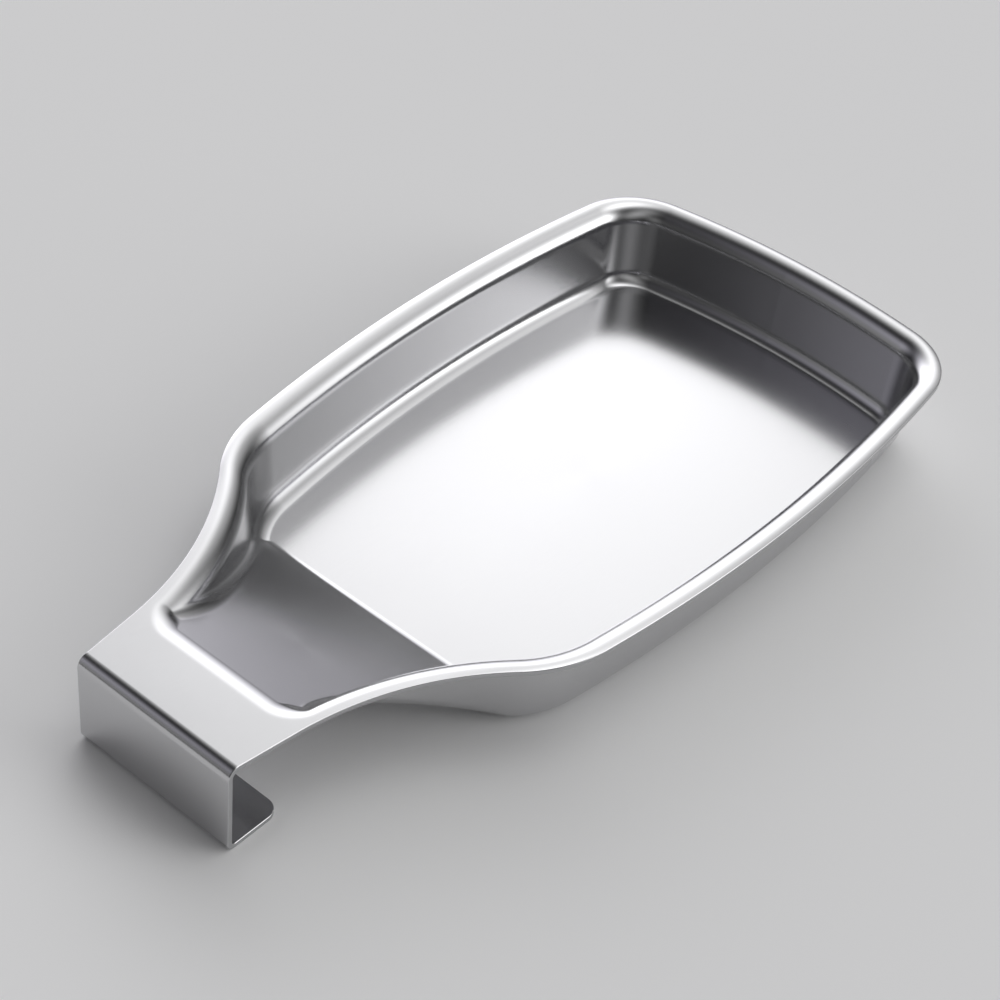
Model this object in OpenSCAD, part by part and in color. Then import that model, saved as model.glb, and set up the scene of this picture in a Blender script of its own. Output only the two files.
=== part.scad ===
// Spoon rest pressed and folded from one sheet of stainless steel.
// The sheet is drawn in seven zones that meet face to face at its forming lines.
// Millimetres. X is across, Y runs from the hook to the far end of the pan, Z is up.
// The origin is under the middle of the rest, on the surface that it stands on.

/* [Whole rest] */
// Length from the outer face of the hook plate to the far edge of the rim
rest_length = 196; // [190:1:202]
// Width over the rim at the widest place
rest_width = 100; // [96:1:104]
// Height from the table to the top of the rim
rest_height = 20.5; // [18.5:0.5:23]
// Thickness of the sheet
sheet = 1.1; // [0.8:0.1:1.5]

/* [Outline of the pan] */
// Distance from the far edge back to the widest place
widest_from_far = 68; // [62:1:74]
// Radius of the far edge, seen from above
far_radius = 198; // [170:1:240]
// Radius of the two far corners
corner_radius = 17; // [14:0.5:20]
// Radius of the two long sides
side_radius = 396; // [350:1:450]
// Radius of the two shoulders
shoulder_radius = 30; // [26:0.5:34]

/* [Neck] */
// Width of the neck at the fold
fold_width = 37.6; // [35:0.2:40]
// Length of the straight edge on each side of the neck, next to the fold
neck_straight = 12; // [9:0.5:14]
// Angle at which the straight edges open towards the pan
neck_taper = 7; // [4:0.5:10]
// Radius of the hollow curve on each side of the neck
neck_radius = 70; // [62:1:78]

/* [Rim and wall] */
// Flat width of the rim outside its curve
rim_flat = 1.3; // [0.9:0.1:1.7]
// Radius of the rim's curve, on the upper face
rim_radius = 4.4; // [3.9:0.1:4.9]
// Lean of the pan's wall from upright
wall_draft = 4; // [2:0.5:7]
// Radius at the foot of the wall, on the upper face
foot_radius = 3.8; // [3.2:0.1:4.4]

/* [Trough] */
// Distance from the outer face of the hook plate to the mouth of the trough
mouth_from_plate = 14; // [12.5:0.5:16]
// Radius of the two corners of the mouth, seen from above
mouth_corner_radius = 7.8; // [7:0.2:9]
// Angle over which the mouth's curve blends into the ramp
mouth_blend = 6; // [4:0.5:9]
// Share of the shoulder's curve that lies on the pan's side of the crease at the ramp's foot
crease_share = 0.96; // [0.8:0.01:0.98]
// Share of the neck's hollow curve that the rim covers before the deck takes over
rim_share = 0.45; // [0.3:0.05:0.55]

/* [Hook] */
// Outer radius of the fold between the deck and the hook plate
fold_radius = 2.4; // [1.8:0.1:3]
// Outer radius of the fold between the hook plate and the lip
lip_fold_radius = 1.9; // [1.7:0.1:2.6]
// Depth of the lip from the outer face of the hook plate
lip_depth = 13; // [10:0.5:15]
// Radius of the two free corners of the lip
lip_corner_radius = 3; // [1.5:0.5:5]

/* [Hidden] */

steel = [0.76, 0.77, 0.79];
pan_steel = [0.84, 0.85, 0.87];
curve_facets = 64;

// Steps along each stretch of the outline
far_steps = 5;
corner_steps = 10;
side_steps = 5;
shoulder_steps = 7;
neck_steps = 5;
mouth_steps = 8;
deck_steps = 8;

// Steps across the rim's curve and the fillet at the foot of the wall
bend_steps = 6;
foot_steps = 5;

// Where two circles meet, on the left of the way from the first centre to the second
function gap(a, b) = norm(b - a);
function along(a, b, r1, r2) = (gap(a, b) * gap(a, b) + r1 * r1 - r2 * r2) / (2 * gap(a, b));
function aside(a, b, r1, r2) = sqrt(r1 * r1 - along(a, b, r1, r2) * along(a, b, r1, r2));
function left_of(a, b) = [a.y - b.y, b.x - a.x] / gap(a, b);
function meet(a, r1, b, r2) =
    a + (b - a) / gap(a, b) * along(a, b, r1, r2) + left_of(a, b) * aside(a, b, r1, r2);
function bearing(a, b) = atan2(b.y - a.y, b.x - a.x);
function ray(angle) = [cos(angle), sin(angle)];
function mirrored(p) = [for (i = [0 : len(p) - 1]) i == 0 ? -p[i] : p[i]];
function backwards(list) = [for (i = [len(list) - 1 : -1 : 0]) list[i]];
function flat(lists) = [for (list = lists) for (item = list) item];

// Places along the length
far_y = rest_length / 2;
plate_y = -rest_length / 2;
widest_y = far_y - widest_from_far;
fold_y = plate_y + fold_radius;
lip_y = plate_y + lip_fold_radius;
mouth_y = plate_y + mouth_from_plate;

// Centres of the outline's arcs on the right-hand side
far_centre = [0, far_y - far_radius];
side_centre = [rest_width / 2 - side_radius, widest_y];
corner_centre = meet(side_centre, side_radius - corner_radius, far_centre, far_radius - corner_radius);
neck_end = [fold_width / 2, fold_y] + neck_straight * [sin(neck_taper), cos(neck_taper)];
neck_centre = neck_end + neck_radius * [cos(neck_taper), -sin(neck_taper)];
shoulder_centre =
    meet(side_centre, side_radius - shoulder_radius, neck_centre, neck_radius + shoulder_radius);
mouth_centre_y = mouth_y + mouth_corner_radius;
mouth_reach = neck_radius + mouth_corner_radius + rim_flat;
mouth_rise = mouth_centre_y - neck_centre.y;
mouth_centre = [neck_centre.x - sqrt(mouth_reach * mouth_reach - mouth_rise * mouth_rise), mouth_centre_y];

// Section of the rim and wall: the first value runs inwards from the edge, the second is height
bend_centre = [rim_flat, rest_height - rim_radius];
fillet_reach = rim_radius + foot_radius;
foot_inset = rim_flat
    + (fillet_reach + (bend_centre.y - sheet - foot_radius) * sin(wall_draft)) / cos(wall_draft);

// Directions in which the arcs touch each other
far_turn = bearing(far_centre, corner_centre);
corner_turn = bearing(side_centre, corner_centre);
side_turn = bearing(side_centre, shoulder_centre);
shoulder_turn = bearing(shoulder_centre, neck_centre);
crease_turn = side_turn + crease_share * (shoulder_turn - side_turn);
neck_start = bearing(neck_centre, shoulder_centre);
neck_stop = bearing(neck_centre, mouth_centre);
rim_stop = neck_start + rim_share * (neck_stop - neck_start);
mouth_turn = bearing(mouth_centre, neck_centre);

// Slope of the ramp, from the crease up to where it leaves the mouth's curve
crease_y = shoulder_centre.y + (shoulder_radius - foot_inset) * sin(crease_turn);
ramp_base = crease_y - mouth_y;
ramp_rise = bend_centre.y - sheet;
ramp_reach = norm([ramp_base, ramp_rise]);
ramp_angle = atan2(ramp_rise, ramp_base) + asin(rim_radius * cos(mouth_blend) / ramp_reach);

// A station is a place on the edge with the direction that runs inwards from it
function station(centre, radius, angle, inwards) = [centre + radius * ray(angle), inwards * ray(angle)];
function round_stations(centre, radius, from, to, steps) =
    [for (i = [1 : steps]) station(centre, radius, from + (to - from) * i / steps, -1)];
function hollow_stations(centre, radius, from, to, steps) =
    [for (i = [1 : steps]) station(centre, radius, from + (to - from) * i / steps, 1)];

// Stations on the right-hand side, in order from the far edge to the mouth of the trough
pan_stations = concat(
    [station(far_centre, far_radius, 90, -1)],
    round_stations(far_centre, far_radius, 90, far_turn, far_steps),
    round_stations(corner_centre, corner_radius, far_turn, corner_turn, corner_steps),
    round_stations(side_centre, side_radius, corner_turn, 0, side_steps),
    round_stations(side_centre, side_radius, 0, side_turn, side_steps),
    round_stations(shoulder_centre, shoulder_radius, side_turn, crease_turn, shoulder_steps)
);
neck_stations = concat(
    [station(shoulder_centre, shoulder_radius, shoulder_turn, -1)],
    hollow_stations(neck_centre, neck_radius, neck_start, rim_stop, neck_steps)
);
mouth_stations = concat(
    hollow_stations(neck_centre, neck_radius, rim_stop, neck_stop, neck_steps),
    round_stations(mouth_centre, mouth_corner_radius + rim_flat, mouth_turn, -90, mouth_steps)
);

// Height and slope of the floor or ramp, in the upright plane of a station
function slope_at(s) = s[0].y + foot_inset * s[1].y > crease_y - sheet / 2 ? 0 : tan(ramp_angle) * s[1].y;
function height_at(s) = slope_at(s) == 0 ? sheet : sheet + (crease_y - s[0].y) * tan(ramp_angle);

// Centre of the fillet at the foot of the wall, measured from the bend's centre
function fillet_lift(s, depth) =
    height_at(s) - slope_at(s) * rim_flat - bend_centre.y
    + (foot_radius + depth) * sqrt(1 + slope_at(s) * slope_at(s))
    - (slope_at(s) == 0 ? depth : depth / cos(ramp_angle));
function on_the_bend(lift, slope) =
    let (q = (lift * slope + sqrt(fillet_reach * fillet_reach * (1 + slope * slope) - lift * lift))
        / (1 + slope * slope))
    [q, lift - slope * q];
function on_the_wall(lift, slope) =
    let (q = (fillet_reach - lift * sin(wall_draft)) / (cos(wall_draft) - slope * sin(wall_draft)))
    [q, lift - slope * q];
function fillet_centre(lift, slope) =
    let (high = on_the_bend(lift, slope))
    lift > 0 && atan2(high.y, high.x) > wall_draft ? high : on_the_wall(lift, slope);

// Section of one face of the sheet at a station: the bend, then the fillet down to the floor
function section(s, depth) =
    let (
        slope = slope_at(s),
        centre = fillet_centre(fillet_lift(s, depth), slope),
        touch = max(atan2(centre.y, centre.x), wall_draft),
        bend = 90 - touch,
        fillet = bend - atan(slope)
    )
    concat(
        [for (i = [0 : bend_steps])
            bend_centre + (rim_radius - depth) * ray(90 - bend * i / bend_steps)],
        [for (i = [1 : foot_steps])
            bend_centre + centre + (foot_radius + depth) * ray(180 + touch + fillet * i / foot_steps)]
    );
function placed(s, p) = [s[0].x + p.x * s[1].x, s[0].y + p.x * s[1].y, p.y];
function face_line(s, depth, first, last) =
    let (points = section(s, depth)) [for (i = [first : last]) placed(s, points[i])];
function edge_and_bend(s, depth) =
    concat([placed(s, [0, rest_height - depth])], face_line(s, depth, 0, bend_steps));

// Closed sheet between an upper and a lower grid of points
module sheet_between(upper, lower) {
    rows = len(upper);
    columns = len(upper[0]);
    function number(r, c) = r * columns + c;
    skin = [for (r = [0 : rows - 2]) for (c = [0 : columns - 2])
        [number(r, c), number(r + 1, c), number(r + 1, c + 1), number(r, c + 1)]];
    loop = concat(
        [for (r = [0 : rows - 1]) number(r, 0)],
        [for (c = [1 : columns - 1]) number(rows - 1, c)],
        [for (r = [rows - 2 : -1 : 0]) number(r, columns - 1)],
        [for (c = [columns - 2 : -1 : 1]) number(0, c)]
    );
    closed_sheet(flat(upper), flat(lower), skin, loop);
}

// Closed sheet from the faces of its upper side and the loop of points round them
module closed_sheet(upper, lower, skin, loop) {
    under = len(upper);
    polyhedron(
        points = concat(upper, lower),
        faces = concat(
            [for (f = skin) each [[f[0], f[1], f[2]], [f[0], f[2], f[3]]]],
            [for (f = skin)
                let (g = f + under * [1, 1, 1, 1])
                each [[g[2], g[1], g[0]], [g[3], g[2], g[0]]]],
            [for (i = [0 : len(loop) - 1])
                let (a = loop[i], b = loop[(i + 1) % len(loop)])
                each [[a, under + b, b], [a, under + a, under + b]]]
        )
    );
}

// Lines of points for the whole way round, from the left-hand end to the right-hand end
function both_ways(lines) =
    concat([for (i = [len(lines) - 1 : -1 : 1]) [for (p = lines[i]) mirrored(p)]], lines);

module pan_floor() {
    edge = [for (s = pan_stations) s[0] + foot_inset * s[1]];
    color(pan_steel)
        linear_extrude(sheet)
            polygon(concat(edge, [for (i = [len(edge) - 1 : -1 : 1]) mirrored(edge[i])]));
}

module pan_wall() {
    last = bend_steps + foot_steps;
    color(pan_steel)
        sheet_between(
            both_ways([for (s = pan_stations) face_line(s, 0, bend_steps, last)]),
            both_ways([for (s = pan_stations) face_line(s, sheet, bend_steps, last)])
        );
}

module pan_rim() {
    stations = concat(pan_stations, neck_stations);
    color(pan_steel)
        sheet_between(
            both_ways([for (s = stations) edge_and_bend(s, 0)]),
            both_ways([for (s = stations) edge_and_bend(s, sheet)])
        );
}

// The ramp's rows run from edge to edge. The first rows start below the rim, and the rows
// round the mouth start on the deck.
module drain_ramp() {
    last = bend_steps + foot_steps;
    low = concat([pan_stations[len(pan_stations) - 1]], neck_stations);
    stations = concat(low, mouth_stations);
    first = len(low) - 1;
    end = len(stations) - 1;
    width = 2 * (last + 1);
    function row(s, depth) =
        let (line = face_line(s, depth, 0, last)) concat(line, backwards([for (p = line) mirrored(p)]));
    function number(r, c) = r * width + c;
    function opposite(c) = width - 1 - c;
    function edge_column(r) = r < first ? bend_steps : 0;
    grid = [for (r = [0 : end - 1]) for (c = [edge_column(r) : opposite(edge_column(r)) - 1])
        [number(r, c), number(r + 1, c), number(r + 1, c + 1), number(r, c + 1)]];
    mouth = [for (c = [0 : last - 1])
        [number(end, c), number(end, opposite(c)), number(end, opposite(c + 1)), number(end, c + 1)]];
    loop = concat(
        [for (c = [opposite(bend_steps) : -1 : bend_steps]) number(0, c)],
        [for (r = [1 : first]) number(r, bend_steps)],
        [for (c = [bend_steps - 1 : -1 : 0]) number(first, c)],
        [for (r = [first + 1 : end]) number(r, 0)],
        [for (r = [end : -1 : first]) number(r, width - 1)],
        [for (c = [1 : bend_steps]) number(first, opposite(c))],
        [for (r = [first - 1 : -1 : 1]) number(r, opposite(bend_steps))]
    );
    color(steel)
        closed_sheet(
            flat([for (s = stations) row(s, 0)]),
            flat([for (s = stations) row(s, sheet)]),
            concat(grid, mouth),
            loop
        );
}

module neck_deck() {
    joint = neck_stations[len(neck_stations) - 1];
    side = hollow_stations(neck_centre, neck_radius, rim_stop, 180 - neck_taper, deck_steps);
    right = concat(
        [for (s = backwards(concat([joint], mouth_stations))) s[0] + rim_flat * s[1]],
        [for (s = concat([joint], side)) s[0]],
        [[fold_width / 2, fold_y]]
    );
    color(steel)
        translate([0, 0, rest_height - sheet])
            linear_extrude(sheet)
                polygon(concat(right, backwards([for (p = right) mirrored(p)])));
}

// Bar along X with a section given as length and height
module across(width) {
    translate([-width / 2, 0, 0])
        rotate([90, 0, 90])
            linear_extrude(width)
                children();
}

// Waste outside a rounded corner that points the given way from the centre of its curve
module corner_waste(centre, radius, way) {
    far = centre + 2 * radius * way;
    difference() {
        polygon([centre, [far.x, centre.y], far, [centre.x, far.y]]);
        translate(centre) circle(radius, $fn = curve_facets);
    }
}

// The plate with the fold above it, down from the deck, and the fold below it, out to the lip
module hook_plate() {
    top_fold = [fold_y, rest_height - fold_radius];
    foot_fold = [lip_y, lip_fold_radius];
    middle = rest_height / 2;
    inner_y = plate_y + sheet;
    open_y = inner_y + fold_radius + lip_fold_radius;
    color(steel)
        across(fold_width)
            difference() {
                polygon([
                    [plate_y, 0], [lip_y, 0], [lip_y, middle],
                    [fold_y, middle], [fold_y, rest_height], [plate_y, rest_height]
                ]);
                corner_waste(top_fold, fold_radius, [-1, 1]);
                corner_waste(foot_fold, lip_fold_radius, [-1, -1]);
                difference() {
                    polygon([
                        [inner_y, sheet], [open_y, sheet],
                        [open_y, rest_height - sheet], [inner_y, rest_height - sheet]
                    ]);
                    corner_waste(top_fold, fold_radius - sheet, [-1, 1]);
                    corner_waste(foot_fold, lip_fold_radius - sheet, [-1, -1]);
                }
            }
}

module hook_lip() {
    half = fold_width / 2;
    tip_y = plate_y + lip_depth;
    corner = [half - lip_corner_radius, tip_y - lip_corner_radius];
    color(steel)
        linear_extrude(sheet)
            difference() {
                polygon([[-half, lip_y], [half, lip_y], [half, tip_y], [-half, tip_y]]);
                for (side = [-1, 1])
                    corner_waste([side * corner.x, corner.y], lip_corner_radius, [side, 1]);
            }
}

pan_floor();
pan_wall();
pan_rim();
drain_ramp();
neck_deck();
hook_plate();
hook_lip();
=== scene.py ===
import math

import bmesh
import bpy
from mathutils import Matrix, Vector
from mathutils.kdtree import KDTree


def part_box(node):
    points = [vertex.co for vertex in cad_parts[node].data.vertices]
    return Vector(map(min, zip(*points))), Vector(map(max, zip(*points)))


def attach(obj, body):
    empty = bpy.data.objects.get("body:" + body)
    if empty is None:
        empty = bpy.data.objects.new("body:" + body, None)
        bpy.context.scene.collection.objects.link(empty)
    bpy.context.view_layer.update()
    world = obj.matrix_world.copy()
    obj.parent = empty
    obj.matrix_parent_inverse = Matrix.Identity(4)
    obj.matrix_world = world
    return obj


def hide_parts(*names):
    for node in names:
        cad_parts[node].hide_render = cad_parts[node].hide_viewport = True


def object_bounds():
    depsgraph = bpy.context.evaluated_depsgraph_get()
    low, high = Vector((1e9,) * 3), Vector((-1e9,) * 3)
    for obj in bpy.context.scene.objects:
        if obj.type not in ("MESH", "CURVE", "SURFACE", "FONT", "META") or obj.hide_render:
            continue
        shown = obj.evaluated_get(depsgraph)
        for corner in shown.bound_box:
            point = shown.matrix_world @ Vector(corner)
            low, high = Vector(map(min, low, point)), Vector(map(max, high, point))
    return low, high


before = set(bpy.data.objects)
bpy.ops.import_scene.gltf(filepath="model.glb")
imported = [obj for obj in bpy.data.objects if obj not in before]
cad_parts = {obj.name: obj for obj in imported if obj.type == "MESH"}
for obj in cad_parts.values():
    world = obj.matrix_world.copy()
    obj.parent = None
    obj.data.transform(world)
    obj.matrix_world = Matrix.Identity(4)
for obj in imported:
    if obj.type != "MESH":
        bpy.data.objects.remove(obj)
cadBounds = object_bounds()

# Sizes are in millimetres until a mesh is made.
mm = 0.001
cadLow, cadHigh = (corner / mm for corner in cadBounds)


# Plane geometry, with angles in degrees

def ray(angle):
    return Vector((math.cos(math.radians(angle)), math.sin(math.radians(angle))))


def bearing(start, end):
    return math.degrees(math.atan2(end.y - start.y, end.x - start.x))


def meetCircles(a, radiusA, b, radiusB):
    # the crossing on the left of the way from a to b
    gap = (b - a).length
    along = (gap * gap + radiusA * radiusA - radiusB * radiusB) / (2 * gap)
    aside = math.sqrt(radiusA * radiusA - along * along)
    way = (b - a) / gap
    return a + way * along + Vector((-way.y, way.x)) * aside


# The outline, seen from above

outlineSizes = {
    "widestFromFar": 68,
    "farRadius": 198,
    "cornerRadius": 17,
    "sideRadius": 396,
    "shoulderRadius": 30,
    "neckStraight": 12,
    "neckTaper": 7,
    "neckRadius": 70,
}
sectionSizes = {
    "sheet": 1.1,
    "rimFlat": 1.3,
    "rimRadius": 4.4,
    "wallDraft": 4,
    "footRadius": 3.8,
    "edgeDrop": 0.22,
    "curlFade": 22,
    "cutRounding": 0.16,
    "flatLead": 0.4,
}
smoothness = {
    "turnStep": 1.0,
    "longestStep": 3.0,
    "jointLead": 0.01,
    "bendSteps": 28,
    "footSteps": 22,
    "cutSteps": 4,
    "filletStepsPerMetre": 6500,
    "leastFilletSteps": 4,
    "flangeShares": (0, 0.25, 0.5, 0.75),
    "curlPlaces": 1500,
    "leastWall": 0.001,
    "searchSteps": 40,
    "searchShare": 0.25,
    "lipTurnStep": 5,
    "weldDistance": 0.0005,
    "sharpAngle": 35,
}

sheet = sectionSizes["sheet"]
top = cadHigh.z
foldWidth = (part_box("hook_plate")[1].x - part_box("hook_plate")[0].x) / mm
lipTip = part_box("hook_lip")[1].y / mm
plateY = cadLow.y


def makeArc(centre, radius, start, stop, hollow=False):
    return {"centre": centre, "radius": radius, "start": start, "stop": stop, "hollow": hollow}


def makeOutline(sizes, trough, hook, section):
    # right-hand half, clockwise from the middle of the far edge
    farCentre = Vector((0, cadHigh.y - sizes["farRadius"]))
    sideCentre = Vector((cadHigh.x - sizes["sideRadius"], cadHigh.y - sizes["widestFromFar"]))
    cornerCentre = meetCircles(sideCentre, sizes["sideRadius"] - sizes["cornerRadius"],
                               farCentre, sizes["farRadius"] - sizes["cornerRadius"])
    foldY = plateY + hook["foldRadius"]
    taper = math.radians(sizes["neckTaper"])
    neckWay = Vector((math.sin(taper), math.cos(taper)))
    neckEnd = Vector((foldWidth / 2, foldY)) + sizes["neckStraight"] * neckWay
    neckCentre = neckEnd + sizes["neckRadius"] * Vector((neckWay.y, -neckWay.x))
    shoulderCentre = meetCircles(sideCentre, sizes["sideRadius"] - sizes["shoulderRadius"],
                                 neckCentre, sizes["neckRadius"] + sizes["shoulderRadius"])
    mouthRadius = trough["mouthCornerRadius"] + section["rimFlat"]
    mouthY = plateY + trough["mouthFromPlate"] + trough["mouthCornerRadius"]
    mouthReach = sizes["neckRadius"] + mouthRadius
    mouthX = neckCentre.x - math.sqrt(mouthReach ** 2 - (mouthY - neckCentre.y) ** 2)
    mouthCentre = Vector((mouthX, mouthY))

    farTurn = bearing(farCentre, cornerCentre)
    cornerTurn = bearing(sideCentre, cornerCentre)
    sideTurn = bearing(sideCentre, shoulderCentre)
    shoulderTurn = bearing(shoulderCentre, neckCentre)
    neckStart = bearing(neckCentre, shoulderCentre)
    neckStop = bearing(neckCentre, mouthCentre)
    mouthTurn = bearing(mouthCentre, neckCentre)
    shoulder = makeArc(shoulderCentre, sizes["shoulderRadius"], sideTurn, shoulderTurn)
    neck = makeArc(neckCentre, sizes["neckRadius"], neckStart, neckStop, hollow=True)
    return {
        "pan": [
            makeArc(farCentre, sizes["farRadius"], 90, farTurn),
            makeArc(cornerCentre, sizes["cornerRadius"], farTurn, cornerTurn),
            makeArc(sideCentre, sizes["sideRadius"], cornerTurn, sideTurn),
        ],
        "trough": [shoulder, neck, makeArc(mouthCentre, mouthRadius, mouthTurn, -90)],
        "neckEdge": makeArc(neckCentre, sizes["neckRadius"], neckStart, 180 - sizes["neckTaper"],
                            hollow=True),
        "foldY": foldY,
    }


def arcLength(arc):
    return arc["radius"] * math.radians(abs(arc["stop"] - arc["start"]))


def stationOn(arc, share):
    # a place on the edge, and the direction that runs inwards from it
    out = ray(arc["start"] + (arc["stop"] - arc["start"]) * share)
    return arc["centre"] + arc["radius"] * out, out if arc["hollow"] else -out


def stationAt(arcs, distance):
    for arc in arcs[:-1]:
        if distance <= arcLength(arc):
            return stationOn(arc, distance / arcLength(arc))
        distance -= arcLength(arc)
    return stationOn(arcs[-1], distance / arcLength(arcs[-1]))


def stationsAlong(arcs, start, stop, lead):
    # fine steps that also stop at each arc's ends, with a short first and last step
    places = [start, start + lead, stop - lead, stop]
    done = 0
    for arc in arcs:
        turn = abs(arc["stop"] - arc["start"])
        steps = max(math.ceil(turn / smoothness["turnStep"]),
                    math.ceil(arcLength(arc) / smoothness["longestStep"]))
        places += [done + arcLength(arc) * i / steps for i in range(steps + 1)]
        done += arcLength(arc)
    places = sorted(p for p in places if start <= p <= stop)
    kept = [p for p, after in zip(places, places[1:]) if after - p > lead / 2 or p == start]
    return [stationAt(arcs, p) for p in kept + [stop]]


def mirrorPoint(p):
    return Vector((-p.x, *p[1:]))


def bothSides(points):
    # the left-hand end, round the far side, to the right-hand end
    return [mirrorPoint(p) for p in reversed(points)] + points[1:]


# The section through the rim and wall: inset from the edge, and height

def sectionLines(section):
    draft = math.radians(section["wallDraft"])
    inwards = Vector((math.cos(draft), math.sin(draft)))
    down = Vector((math.sin(draft), -math.cos(draft)))
    bendCentre = Vector((section["rimFlat"], top - section["rimRadius"]))
    bendEnd = bendCentre + section["rimRadius"] * inwards
    reach = section["rimRadius"] + section["footRadius"]
    drop = bendCentre.y - sheet - section["footRadius"]
    footInset = section["rimFlat"] + (reach + drop * math.sin(draft)) / math.cos(draft)
    footStart = Vector((footInset, sheet + section["footRadius"])) - section["footRadius"] * inwards
    return {
        "inwards": inwards,
        "down": down,
        "bendEnd": bendEnd,
        "wallTop": bendEnd + section["flatLead"] * down,
        "wallFoot": footStart - section["flatLead"] * down,
        "footInset": footInset,
    }


def onWall(lines, height, depth):
    # where a face of the wall, or its line carried on, is at that height
    face = lines["bendEnd"] - depth * lines["inwards"]
    return face + lines["down"] * (face.y - height) / -lines["down"].y


def rimSection(section, lines):
    rounding, lead = section["cutRounding"], section["cutRounding"] + section["flatLead"] / 2
    rim = section["rimRadius"]
    flange = [lead + (section["rimFlat"] - lead) * share for share in smoothness["flangeShares"]]
    upper = [(Vector((0, top)), rounding)] + [(Vector((inset, top)), 0) for inset in flange]
    upper += [(onWall(lines, top, 0), rim), (lines["wallTop"], 0)]
    lower = [(Vector((0, top - sheet)), rounding)]
    lower += [(Vector((inset, top - sheet)), 0) for inset in flange]
    lower += [(onWall(lines, top - sheet, sheet), rim - sheet),
              (lines["wallTop"] - sheet * lines["inwards"], 0)]
    return upper + lower[::-1]


def curlEdge(mesh, stations, section):
    # the rim's flat part bends down towards its edge, and comes level again along the neck
    places = KDTree(len(stations))
    for i, (place, _) in enumerate(stations):
        places.insert(place.to_3d(), i)
    places.balance()
    low, high = stations[-1][0].y, stations[-1][0].y + section["curlFade"]
    for vertex in mesh.vertices:
        spot = Vector((abs(vertex.co.x), vertex.co.y)) / mm
        place, inwards = stations[places.find(spot.to_3d())[1]]
        rest = max(0, 1 - (spot - place).dot(inwards) / section["rimFlat"])
        fade = min(1, max(0, (spot.y - low) / (high - low)))
        fade *= fade * (3 - 2 * fade)
        vertex.co.z -= section["edgeDrop"] * rest * rest * fade * mm


def wallSection(section, lines):
    foot, lead = section["footRadius"], section["flatLead"]
    floorEnd = lines["footInset"] + lead
    upper = [(lines["wallTop"], 0), (lines["wallFoot"], 0),
             (onWall(lines, sheet, 0), foot), (Vector((floorEnd, sheet)), 0)]
    lower = [(lines["wallTop"] - sheet * lines["inwards"], 0),
             (lines["wallFoot"] - sheet * lines["inwards"], 0),
             (onWall(lines, 0, sheet), foot + sheet), (Vector((floorEnd, 0)), 0)]
    return upper + lower[::-1]


# Geometry Nodes: a section of the sheet swept along a path, both with filleted corners

def addSocket(tree, name, inOut, kind, default=None):
    socket = tree.interface.new_socket(name=name, in_out=inOut, socket_type=kind)
    if default is not None:
        socket.default_value = default
    return socket


def makeSweepTree():
    tree = bpy.data.node_groups.new("sweptSheet", "GeometryNodeTree")
    addSocket(tree, "Geometry", "INPUT", "NodeSocketGeometry")
    addSocket(tree, "Section", "INPUT", "NodeSocketObject")
    addSocket(tree, "Path Normal", "INPUT", "NodeSocketVector", (0, 0, 1))
    addSocket(tree, "Least Steps", "INPUT", "NodeSocketInt", smoothness["leastFilletSteps"])
    addSocket(tree, "Steps per Metre", "INPUT", "NodeSocketFloat",
              smoothness["filletStepsPerMetre"])
    addSocket(tree, "Material", "INPUT", "NodeSocketMaterial")
    addSocket(tree, "Geometry", "OUTPUT", "NodeSocketGeometry")
    nodes, link = tree.nodes, tree.links.new
    given = nodes.new("NodeGroupInput")
    result = nodes.new("NodeGroupOutput")

    radius = nodes.new("GeometryNodeInputRadius")
    extra = nodes.new("ShaderNodeMath")
    extra.operation = "MULTIPLY_ADD"
    link(radius.outputs["Radius"], extra.inputs[0])
    link(given.outputs["Steps per Metre"], extra.inputs[1])
    link(given.outputs["Least Steps"], extra.inputs[2])

    def fillet(curve):
        node = nodes.new("GeometryNodeFilletCurve")
        node.mode = "POLY"
        link(curve, node.inputs["Curve"])
        link(radius.outputs["Radius"], node.inputs["Radius"])
        link(extra.outputs["Value"], node.inputs["Count"])
        return node.outputs["Curve"]

    section = nodes.new("GeometryNodeObjectInfo")
    link(given.outputs["Section"], section.inputs["Object"])
    aimed = nodes.new("GeometryNodeSetCurveNormal")
    aimed.mode = "FREE"
    link(fillet(given.outputs["Geometry"]), aimed.inputs["Curve"])
    link(given.outputs["Path Normal"], aimed.inputs["Normal"])
    sweep = nodes.new("GeometryNodeCurveToMesh")
    link(aimed.outputs["Curve"], sweep.inputs["Curve"])
    link(fillet(section.outputs["Geometry"]), sweep.inputs["Profile Curve"])
    sweep.inputs["Fill Caps"].default_value = True
    real = nodes.new("GeometryNodeRealizeInstances")
    link(sweep.outputs["Mesh"], real.inputs["Geometry"])
    finish = nodes.new("GeometryNodeSetMaterial")
    link(real.outputs["Geometry"], finish.inputs["Geometry"])
    link(given.outputs["Material"], finish.inputs["Material"])
    link(finish.outputs["Geometry"], result.inputs["Geometry"])
    return tree


def makeCurve(name, points, closed=False):
    # points are (place in millimetres, corner radius)
    curve = bpy.data.curves.new(name, "CURVE")
    curve.dimensions = "3D"
    spline = curve.splines.new("POLY")
    spline.points.add(len(points) - 1)
    spline.use_cyclic_u = closed
    for target, (place, radius) in zip(spline.points, points):
        target.co = (*(Vector(place).to_3d() * mm), 1)
        target.radius = radius * mm
    thing = bpy.data.objects.new(name, curve)
    bpy.context.scene.collection.objects.link(thing)
    return thing


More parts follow.
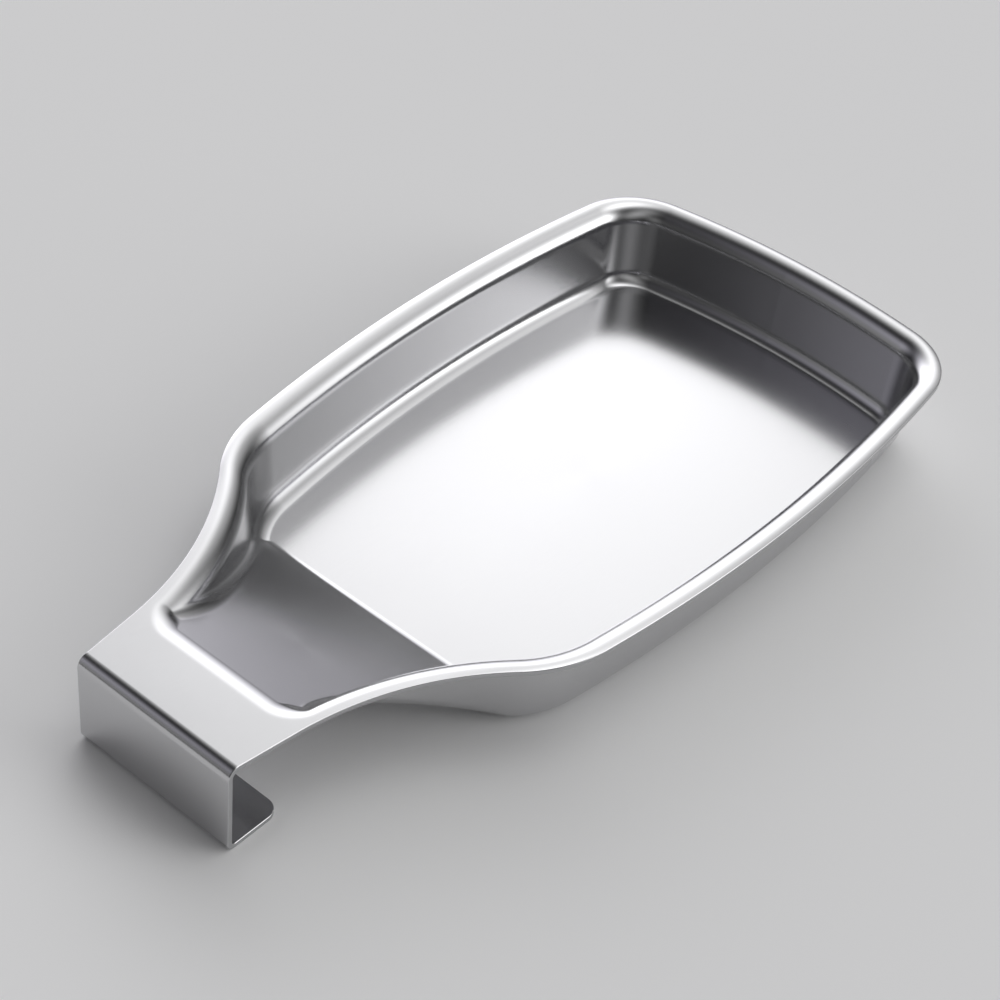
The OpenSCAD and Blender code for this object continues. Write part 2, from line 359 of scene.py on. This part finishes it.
def finishMesh(mesh, finishes, isCut):
    shape = bmesh.new()
    shape.from_mesh(mesh)
    bmesh.ops.remove_doubles(shape, verts=shape.verts, dist=smoothness["weldDistance"] * mm)
    bmesh.ops.dissolve_degenerate(shape, edges=shape.edges, dist=smoothness["weldDistance"] * mm)
    bmesh.ops.recalc_face_normals(shape, faces=shape.faces)
    shape.to_mesh(mesh)
    shape.free()
    mesh.materials.clear()
    for name in ("face", "cut"):
        mesh.materials.append(finishes[name])
    for face in mesh.polygons:
        face.material_index = 1 if isCut and isCut(face.center / mm, face.normal) else 0
    mesh.shade_smooth()
    mesh.set_sharp_from_angle(angle=math.radians(smoothness["sharpAngle"]))


def addPiece(name, mesh, finishes, cadNode, isCut=None):
    mesh.name = name
    finishMesh(mesh, finishes, isCut)
    piece = bpy.data.objects.new(name, mesh)
    bpy.context.scene.collection.objects.link(piece)
    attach(piece, "root")
    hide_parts(cadNode)
    print("made", name, len(mesh.polygons), "faces")
    return piece


def sweepPiece(name, tree, path, section, normal, finishes, cadNode, isCut=None, reshape=None):
    # section points are (height, inset) on the outline, and (across, outwards) on the hook
    pathCurve = makeCurve(name + "Path", path)
    sectionCurve = makeCurve(name + "Section", section, closed=True)
    modifier = pathCurve.modifiers.new("Swept sheet", "NODES")
    modifier.node_group = tree
    sockets = {item.name: item.identifier for item in tree.interface.items_tree
               if item.in_out == "INPUT"}
    modifier[sockets["Section"]] = sectionCurve
    modifier[sockets["Path Normal"]] = normal
    modifier[sockets["Material"]] = finishes["face"]
    evaluated = pathCurve.evaluated_get(bpy.context.evaluated_depsgraph_get())
    mesh = bpy.data.meshes.new_from_object(evaluated)
    for thing in (pathCurve, sectionCurve):
        curve = thing.data
        bpy.data.objects.remove(thing)
        bpy.data.curves.remove(curve)
    if reshape:
        reshape(mesh)
    return addPiece(name, mesh, finishes, cadNode, isCut)


# Sheets made row by row

def buildSheet(upper, lower, faces):
    # closes the gap between two skins along every edge that only one face uses
    count = len(upper)
    edgeUses = {}
    for face in faces:
        for a, b in zip(face, face[1:] + face[:1]):
            edgeUses[(a, b)] = edgeUses.get((a, b), 0) + 1
    walls = [(b, a, a + count, b + count) for a, b in edgeUses if (b, a) not in edgeUses]
    under = [tuple(count + i for i in reversed(face)) for face in faces]
    mesh = bpy.data.meshes.new("sheet")
    mesh.from_pydata([tuple(p * mm) for p in upper + lower], [], list(faces) + under + walls)
    return mesh


def cutProfile(section, low, high):
    # inset and height down a cut edge with both of its corners rounded
    rounding, steps = section["cutRounding"], smoothness["cutSteps"]
    turns = [math.radians(90 * i / steps) for i in range(steps + 1)]
    upper = [(rounding + section["flatLead"] / 2, high)]
    upper += [(rounding * (1 - math.sin(a)), high - rounding * (1 - math.cos(a))) for a in turns]
    return upper + [(inset, low + high - height) for inset, height in reversed(upper)]


def buildPlate(corners, low, high, section):
    # corners are (place, inward direction of a cut edge, or None where the sheet goes on)
    profile = cutProfile(section, low, high)
    points, faces = [], []
    for place, inwards in corners:
        for inset, height in profile:
            spot = place if inwards is None else place + inset * inwards
            points.append((spot.x * mm, spot.y * mm, height * mm))
    depth, count = len(profile), len(corners)
    for i in range(count):
        a, b = i * depth, (i + 1) % count * depth
        faces += [(a + k, b + k, b + k + 1, a + k + 1) for k in range(depth - 1)]
    faces.append(tuple(i * depth for i in reversed(range(count))))
    faces.append(tuple(i * depth + depth - 1 for i in range(count)))
    mesh = bpy.data.meshes.new("plate")
    mesh.from_pydata(points, [], faces)
    return mesh


# The trough and its ramp

troughSizes = {
    "mouthFromPlate": 14,
    "mouthCornerRadius": 7.8,
    "mouthBend": 9,
    "mouthBlend": 3,
    "creaseShare": 0.96,
    "creaseRadius": 4,
    "creaseRows": 8,
    "rimShare": 0.45,
}


def rampLine(station, plane, radius, depth, section):
    # the section at a station over a sloping plane: (place on it, height there, slope angle)
    place, inwards = station
    bendCentre = Vector((section["rimFlat"], top - radius))
    planeY, planeZ, angle = plane
    draft = math.radians(section["wallDraft"])
    slope = math.tan(angle) * inwards.y
    bend, foot = radius - depth, section["footRadius"] + depth
    reach, stretch = bend + foot, 1 + slope * slope
    lift = (planeZ + math.tan(angle) * (planeY - place.y) - slope * section["rimFlat"]
            - bendCentre.y + foot * math.sqrt(stretch) - depth / math.cos(angle))
    across = (reach - lift * math.sin(draft)) / (math.cos(draft) - slope * math.sin(draft))
    if lift > 0:
        onBend = (lift * slope + math.sqrt(reach * reach * stretch - lift * lift)) / stretch
        if math.atan2(lift - slope * onBend, onBend) > draft:
            across = onBend
    centre = Vector((across, lift - slope * across))
    touch = max(math.degrees(math.atan2(centre.y, centre.x)), section["wallDraft"])

    lead = section["flatLead"]
    bendSteps, footSteps = smoothness["bendSteps"], smoothness["footSteps"]
    bendTurns = [90 - (90 - touch) * i / bendSteps for i in range(bendSteps + 1)]
    footSweep = 90 - touch - math.degrees(math.atan(slope))
    footTurns = [180 + touch + footSweep * i / footSteps for i in range(footSteps + 1)]
    bendPoints = [bendCentre + bend * ray(a) for a in bendTurns]
    footPoints = [bendCentre + centre + foot * ray(a) for a in footTurns]
    wall = footPoints[0] - bendPoints[-1]
    share = min(lead / wall.length, 1 / 3) if wall.length > smoothness["leastWall"] else 0
    line = [bendPoints[0] - Vector((lead, 0))] + bendPoints
    line += [bendPoints[-1] + share * wall, footPoints[0] - share * wall] + footPoints
    line.append(footPoints[-1] + lead * Vector((1, -slope)))
    return [Vector((*(place + p.x * inwards), p.y)) for p in line]


def bendAt(y, mouth, trough, section):
    # the neck's bend grows into the softer one across the mouth
    cornerY, mouthY = stationOn(mouth, 0)[0].y, stationOn(mouth, 1)[0].y
    share = min(1, max(0, (cornerY - y) / (cornerY - mouthY)))
    share *= share * (3 - 2 * share)
    return section["rimRadius"] + (trough["mouthBend"] - section["rimRadius"]) * share


def rampSlope(trough, creaseY):
    # the plane leaves the mouth's curve a little below its tangent
    base = creaseY - plateY - trough["mouthFromPlate"]
    rise = top - trough["mouthBend"] - sheet
    reach = trough["mouthBend"] * math.cos(math.radians(trough["mouthBlend"]))
    return math.atan2(rise, base) + math.asin(reach / math.hypot(base, rise))


def creasePlanes(trough, creaseY, slope):
    # small steps round the crease, from the floor up to the ramp
    radius, rows = trough["creaseRadius"], trough["creaseRows"]
    startY = creaseY + radius * math.tan(slope / 2)
    angles = [slope * i / rows for i in range(rows + 1)]
    return [(startY - radius * math.sin(a), sheet + radius * (1 - math.cos(a)), a) for a in angles]


def placeOnPlane(arcs, plane, section):
    # how far along the edge the ramp's flat part starts at the plane's own place
    near, far = 0, arcLength(arcs[0]) + arcLength(arcs[1]) * smoothness["searchShare"]
    for _ in range(smoothness["searchSteps"]):
        middle = (near + far) / 2
        line = rampLine(stationAt(arcs, middle), plane, section["rimRadius"], 0, section)
        if line[-1].y > plane[0]:
            near = middle
        else:
            far = middle
    return near


def buildRamp(rows, firstWithBend, section):
    # rows are (station, plane, bend's radius); those before firstWithBend start below the rim
    upperHalf = [rampLine(*row, 0, section) for row in rows]
    lowerHalf = [rampLine(*row, sheet, section) for row in rows]
    half = len(upperHalf[0])
    width, wallColumn = 2 * half, smoothness["bendSteps"] + 2
    upper, lower = ([p for line in skin for p in line + [mirrorPoint(q) for q in reversed(line)]]
                    for skin in (upperHalf, lowerHalf))
    faces = []
    for r in range(len(rows) - 1):
        edge = wallColumn if r < firstWithBend else 0
        faces += [(r * width + c, (r + 1) * width + c, (r + 1) * width + c + 1, r * width + c + 1)
                  for c in range(edge, width - 1 - edge)]
    end = (len(rows) - 1) * width
    faces += [(end + c, end + width - 1 - c, end + width - 2 - c, end + c + 1)
              for c in range(half - 1)]
    return buildSheet(upper, lower, faces)


# The pieces

# A cut edge faces sideways: its normal hardly rises, or runs nearly straight across the hook
cutNormals = {
    "mostRise": 0.2,
    "leastAcross": 0.9,
}


def isPlateCut(place, normal):
    return abs(normal.z) < cutNormals["mostRise"]


def isRimCut(place, normal):
    return isPlateCut(place, normal) and place.z > top - sheet


def isStripCut(place, normal):
    return abs(normal.x) > cutNormals["leastAcross"]


def heightFirst(points):
    return [((p.y, p.x), radius) for p, radius in points]


def makePan(tree, outline, wallStop, rimStop, section, lines, finishes):
    wholeWay = outline["pan"] + outline["trough"]
    lead, places = smoothness["jointLead"], smoothness["curlPlaces"]
    wallStations = stationsAlong(wholeWay, 0, wallStop, lead)
    rimStations = stationsAlong(wholeWay, 0, rimStop, lead)
    fineStations = [stationAt(wholeWay, rimStop * i / places) for i in range(places + 1)]
    up = (0, 0, 1)
    sweepPiece("panRim", tree, [(p, 0) for p in bothSides([s[0] for s in rimStations])],
               heightFirst(rimSection(section, lines)), up, finishes, "pan_rim", isRimCut,
               lambda mesh: curlEdge(mesh, fineStations, section))
    sweepPiece("panWall", tree, [(p, 0) for p in bothSides([s[0] for s in wallStations])],
               heightFirst(wallSection(section, lines)), up, finishes, "pan_wall")
    floorInset = lines["footInset"] + section["flatLead"]
    floorEdge = bothSides([place + floorInset * inwards for place, inwards in wallStations])
    addPiece("panFloor", buildPlate([(p, None) for p in floorEdge], 0, sheet, section),
             finishes, "pan_floor")


def makeRamp(edge, crease, creasePlaces, rimStop, bendRows, section, trough, finishes):
    # round the crease in small steps first, then up the plane, and last across the mouth
    lead, rampPlane = smoothness["jointLead"], crease[-1]
    rows = [(creasePlaces[0], crease[0]), (creasePlaces[0] + lead, crease[0])]
    rows += list(zip(creasePlaces[1:], crease[1:]))
    rows = [(stationAt(edge, place), plane) for place, plane in rows]
    rest = stationsAlong(edge, creasePlaces[-1] + lead, rimStop, lead)
    rows += [(station, rampPlane) for station in rest[1:-1]]
    firstWithBend = len(rows)
    rows += [(station, rampPlane) for station in bendRows]
    rows = [(station, plane, bendAt(station[0].y, edge[-1], trough, section))
            for station, plane in rows]
    addPiece("drainRamp", buildRamp(rows, firstWithBend, section), finishes, "drain_ramp")


def mirrorCorner(corner):
    place, inwards = corner
    return mirrorPoint(place), inwards and mirrorPoint(inwards)


def makeDeck(neckEdge, foldY, rimOnNeck, bendRows, section, finishes):
    foldEnd = Vector((foldWidth / 2, foldY + smoothness["jointLead"]))
    rimShare = rimOnNeck / arcLength(neckEdge)
    edgeSteps = math.ceil(abs(neckEdge["stop"] - neckEdge["start"]) / smoothness["turnStep"])
    outer = [stationOn(neckEdge, rimShare + (1 - rimShare) * i / edgeSteps)
             for i in range(edgeSteps + 1)]
    outer.append((foldEnd, Vector((-1, 0))))
    inner = [(place + (section["rimFlat"] - section["flatLead"]) * inwards, None)
             for place, inwards in bendRows]
    loop = outer + [mirrorCorner(corner) for corner in reversed(outer)]
    loop += [mirrorCorner(corner) for corner in inner] + inner[::-1]
    addPiece("neckDeck", buildPlate(loop, top - sheet, top, section), finishes, "neck_deck",
             isPlateCut)


def makeSheet(finishes):
    section, trough = sectionSizes, troughSizes
    lines = sectionLines(section)
    outline = makeOutline(outlineSizes, trough, hookSizes, section)
    edge = outline["trough"]
    shoulder, neck = edge[:2]
    creaseTurn = shoulder["start"] + trough["creaseShare"] * (shoulder["stop"] - shoulder["start"])
    creaseY = (shoulder["centre"].y + (shoulder["radius"] - lines["footInset"])
               * math.sin(math.radians(creaseTurn)))
    crease = creasePlanes(trough, creaseY, rampSlope(trough, creaseY))
    creasePlaces = [placeOnPlane(edge, plane, section) for plane in crease]
    panLength = sum(arcLength(arc) for arc in outline["pan"])
    rimOnNeck = trough["rimShare"] * arcLength(neck)
    rimStop = arcLength(shoulder) + rimOnNeck
    troughEnd = sum(arcLength(arc) for arc in edge)
    bendRows = stationsAlong(edge, rimStop, troughEnd, smoothness["jointLead"])

    tree = makeSweepTree()
    makePan(tree, outline, panLength + creasePlaces[0], panLength + rimStop, section, lines, finishes)
    makeRamp(edge, crease, creasePlaces, rimStop, bendRows, section, trough, finishes)
    makeDeck(outline["neckEdge"], outline["foldY"], rimOnNeck, bendRows, section, finishes)
    makeHook(tree, outline["foldY"], smoothness["jointLead"], finishes)


hookSizes = {
    "foldRadius": 2.4,
    "lipFoldRadius": 1.9,
    "lipCornerRadius": 3,
}


def makeHook(tree, foldY, lead, finishes):
    hook, section = hookSizes, sectionSizes
    half = foldWidth / 2
    lipY = plateY + hook["lipFoldRadius"]
    path = [((0, foldY + lead, top), 0), ((0, plateY, top), hook["foldRadius"]),
            ((0, plateY, 0), hook["lipFoldRadius"]), ((0, lipY + lead, 0), 0)]
    rounding = section["cutRounding"]
    inner = half - rounding - section["flatLead"] / 2
    strip = [((half, 0), rounding), ((half, -sheet), rounding), ((inner, -sheet), 0),
             ((-inner, -sheet), 0), ((-half, -sheet), rounding), ((-half, 0), rounding),
             ((-inner, 0), 0), ((inner, 0), 0)]
    sweepPiece("hookPlate", tree, path, strip, (1, 0, 0), finishes, "hook_plate", isStripCut)

    radius = hook["lipCornerRadius"]
    centre = Vector((half - radius, lipTip - radius))
    turns = range(0, 91, smoothness["lipTurnStep"])
    right = [(Vector((half, lipY + lead)), Vector((-1, 0)))]
    right += [(centre + radius * ray(a), -ray(a)) for a in turns]
    left = [mirrorCorner(corner) for corner in reversed(right)]
    addPiece("hookLip", buildPlate(right + left, 0, sheet, section), finishes, "hook_lip", isPlateCut)


# Finish, in metres: belt-polished stainless steel, and the duller band where it was sheared

steelSettings = {
    "colour": (0.6, 0.6, 0.61, 1),
    "roughness": 0.19,
    "colourChange": 0.04,
    "roughnessChange": 0.05,
    "grainPerMetre": 4200,
    "grainStretch": 14,
    "cloudsPerMetre": 55,
    "grainHeight": 0.000006,
    "anisotropy": 0.3,
}
cutSettings = {
    "colour": (0.5, 0.5, 0.51, 1),
    "roughness": 0.34,
    "colourChange": 0.1,
    "roughnessChange": 0.12,
    "grainPerMetre": 5200,
    "grainStretch": 1,
    "cloudsPerMetre": 180,
    "grainHeight": 0.00001,
    "anisotropy": 0,
}
grainDetail, cloudDetail = 2, 3


def maths(tree, operation, *values):
    node = tree.nodes.new("ShaderNodeMath")
    node.operation = operation
    for socket, value in zip(node.inputs, values):
        if isinstance(value, (int, float)):
            socket.default_value = value
        else:
            tree.links.new(value, socket)
    return node.outputs["Value"]


def makeGrainGroup():
    # fine streaks along the sheet's length over slow cloudy changes
    tree = bpy.data.node_groups.new("polishingGrain", "ShaderNodeTree")
    for name, kind, default in (("Place", "NodeSocketVector", (0, 0, 0)),
                                ("Colour", "NodeSocketColor", (0.6, 0.6, 0.6, 1)),
                                ("Colour Change", "NodeSocketFloat", 0.04),
                                ("Roughness", "NodeSocketFloat", 0.2),
                                ("Roughness Change", "NodeSocketFloat", 0.05),
                                ("Grain per Metre", "NodeSocketFloat", 4000),
                                ("Grain Stretch", "NodeSocketFloat", 10),
                                ("Clouds per Metre", "NodeSocketFloat", 60)):
        addSocket(tree, name, "INPUT", kind, default)
    addSocket(tree, "Colour", "OUTPUT", "NodeSocketColor")
    addSocket(tree, "Roughness", "OUTPUT", "NodeSocketFloat")
    addSocket(tree, "Height", "OUTPUT", "NodeSocketFloat")
    nodes, link = tree.nodes, tree.links.new
    given = nodes.new("NodeGroupInput")
    result = nodes.new("NodeGroupOutput")

    def noise(place, scale, detail):
        node = nodes.new("ShaderNodeTexNoise")
        node.inputs["Detail"].default_value = detail
        link(place, node.inputs["Vector"])
        link(scale, node.inputs["Scale"])
        return node.outputs["Fac"]

    along = nodes.new("ShaderNodeCombineXYZ")
    along.inputs["X"].default_value = 1
    along.inputs["Z"].default_value = 1
    link(maths(tree, "DIVIDE", 1, given.outputs["Grain Stretch"]), along.inputs["Y"])
    stretched = nodes.new("ShaderNodeVectorMath")
    stretched.operation = "MULTIPLY"
    link(given.outputs["Place"], stretched.inputs[0])
    link(along.outputs["Vector"], stretched.inputs[1])
    grain = noise(stretched.outputs["Vector"], given.outputs["Grain per Metre"], grainDetail)
    clouds = noise(given.outputs["Place"], given.outputs["Clouds per Metre"], cloudDetail)

    # both noises lie round one half
    both = maths(tree, "SUBTRACT", maths(tree, "ADD", grain, clouds), 1)
    change = given.outputs["Roughness Change"]
    link(maths(tree, "MULTIPLY_ADD", both, change, given.outputs["Roughness"]),
         result.inputs["Roughness"])
    tint = nodes.new("ShaderNodeHueSaturation")
    link(maths(tree, "MULTIPLY_ADD", both, given.outputs["Colour Change"], 1), tint.inputs["Value"])
    link(given.outputs["Colour"], tint.inputs["Color"])
    link(tint.outputs["Color"], result.inputs["Colour"])
    link(grain, result.inputs["Height"])
    return tree


def makeSteel(name, settings, grainGroup):
    material = bpy.data.materials.new(name)
    material.use_nodes = True
    nodes, link = material.node_tree.nodes, material.node_tree.links.new
    shader = nodes["Principled BSDF"]
    shader.inputs["Metallic"].default_value = 1
    shader.inputs["Anisotropic"].default_value = settings["anisotropy"]
    place = nodes.new("ShaderNodeTexCoord")
    grain = nodes.new("ShaderNodeGroup")
    grain.node_tree = grainGroup
    grain.inputs["Colour"].default_value = settings["colour"]
    grain.inputs["Colour Change"].default_value = settings["colourChange"]
    grain.inputs["Roughness"].default_value = settings["roughness"]
    grain.inputs["Roughness Change"].default_value = settings["roughnessChange"]
    grain.inputs["Grain per Metre"].default_value = settings["grainPerMetre"]
    grain.inputs["Grain Stretch"].default_value = settings["grainStretch"]
    grain.inputs["Clouds per Metre"].default_value = settings["cloudsPerMetre"]
    bump = nodes.new("ShaderNodeBump")
    bump.inputs["Distance"].default_value = settings["grainHeight"]
    link(place.outputs["Object"], grain.inputs["Place"])
    link(grain.outputs["Colour"], shader.inputs["Base Color"])
    link(grain.outputs["Roughness"], shader.inputs["Roughness"])
    link(grain.outputs["Height"], bump.inputs["Height"])
    link(bump.outputs["Normal"], shader.inputs["Normal"])
    return material


# Camera, at the photograph's viewing angle, placed in millimetres

cameraView = {
    "azimuth": 35.99,
    "elevation": 41.16,
    "roll": 6.723,
    "distance": 423.4,
    "aim": (5.62, -12.6, 20.5),
    "lens": 79.1,
    "sensor": 36,
    "clipStart": 10,
}


def makeCamera(view):
    side, height = math.radians(view["azimuth"]), math.radians(view["elevation"])
    back = Vector((math.sin(side) * math.cos(height), -math.cos(side) * math.cos(height),
                   math.sin(height)))
    right = Vector((math.cos(side), math.sin(side), 0))
    up = back.cross(right)
    roll = math.radians(view["roll"])
    turnedRight = math.cos(roll) * right + math.sin(roll) * up
    turnedUp = math.cos(roll) * up - math.sin(roll) * right
    lens = bpy.data.cameras.new("photoCamera")
    lens.lens = view["lens"]
    lens.sensor_width = view["sensor"]
    lens.clip_start = view["clipStart"] * mm
    camera = bpy.data.objects.new("photoCamera", lens)
    bpy.context.scene.collection.objects.link(camera)
    place = (Vector(view["aim"]) + view["distance"] * back) * mm
    axes = Matrix((turnedRight, turnedUp, back)).transposed()
    camera.matrix_world = Matrix.Translation(place) @ axes.to_4x4()
    bpy.context.scene.camera = camera
    print("placed the camera")


# Studio: a pale floor under soft lamps painted on the sky, azimuth from +Y towards +X

studio = {
    "floorHalf": 3000,
    "floorColour": (0.9, 0.9, 0.9, 1),
    "floorRoughness": 0.9,
    "lampSpread": 13.8,
    "white": (1, 1, 1),
    "cool": (0.97, 0.95, 1.06),
    "lamps": [
        # azimuth, elevation, strength and colour; beyond the far edge, left to right
        (-72, 21, 0.9, "cool"),
        (-60, 10, 1.7, "white"),
        (-52, 28, 0.9, "white"),
        (-40, 17, 0.75, "cool"),
        (-32, 35, 1.3, "white"),
        (-25, 60, 0.9, "white"),
        (0, 30, 0.4, "white"),
        # overhead
        (-5, 78, 1.0, "white"),
        (28, 65, 1.5, "white"),
        # on the right, seen in the left wall and the rim
        (40, 47, 0.4, "white"),
        (45, 15, 0.55, "white"),
        (53, 33, 0.75, "white"),
        (58, 4, 1.5, "white"),
        (65, 22, 2.1, "white"),
        # weak ones behind the camera
        (117, 24, 0.3, "white"),
        (132, 42, 0.4, "white"),
        (150, 64, 0.3, "white"),
        (168, 20, 0.2, "white"),
        (-144, 11, 0.25, "white"),
        (-131, 34, 0.45, "cool"),
    ],
}


def makeFloor(settings):
    half = settings["floorHalf"] * mm
    mesh = bpy.data.meshes.new("studioFloor")
    mesh.from_pydata([(-half, -half, 0), (half, -half, 0), (half, half, 0), (-half, half, 0)], [],
                     [(0, 1, 2, 3)])
    floor = bpy.data.objects.new("studioFloor", mesh)
    bpy.context.scene.collection.objects.link(floor)
    material = bpy.data.materials.new("paleFloor")
    material.use_nodes = True
    shader = material.node_tree.nodes["Principled BSDF"]
    shader.inputs["Base Color"].default_value = settings["floorColour"]
    shader.inputs["Roughness"].default_value = settings["floorRoughness"]
    mesh.materials.append(material)


def makeSky(settings):
    world = bpy.data.worlds.new("studio")
    world.use_nodes = True
    tree = world.node_tree
    nodes, link = tree.nodes, tree.links.new
    way = nodes.new("ShaderNodeTexCoord").outputs["Generated"]
    # each lamp is half as bright at the spread's angle from its middle
    fall = math.log(2) / (1 - math.cos(math.radians(settings["lampSpread"])))
    total = None
    for azimuth, elevation, strength, colour in settings["lamps"]:
        turn, lift = math.radians(azimuth), math.radians(elevation)
        aim = nodes.new("ShaderNodeVectorMath")
        aim.operation = "DOT_PRODUCT"
        link(way, aim.inputs[0])
        aim.inputs[1].default_value = (math.sin(turn) * math.cos(lift),
                                       math.cos(turn) * math.cos(lift), math.sin(lift))
        beyond = maths(tree, "SUBTRACT", aim.outputs["Value"], 1)
        glow = maths(tree, "EXPONENT", maths(tree, "MULTIPLY", beyond, fall))
        tinted = nodes.new("ShaderNodeVectorMath")
        tinted.operation = "MULTIPLY_ADD"
        link(glow, tinted.inputs[0])
        tinted.inputs[1].default_value = strength * Vector(settings[colour])
        if total:
            link(total, tinted.inputs[2])
        total = tinted.outputs["Vector"]
    link(total, nodes["Background"].inputs["Color"])
    bpy.context.scene.world = world
    print("lit by", len(settings["lamps"]), "soft lamps")


bpy.context.scene.view_settings.view_transform = "Standard"
makeCamera(cameraView)
grainGroup = makeGrainGroup()
makeSheet({"face": makeSteel("satinSteel", steelSettings, grainGroup),
           "cut": makeSteel("shearedSteel", cutSettings, grainGroup)})
makeFloor(studio)
makeSky(studio)
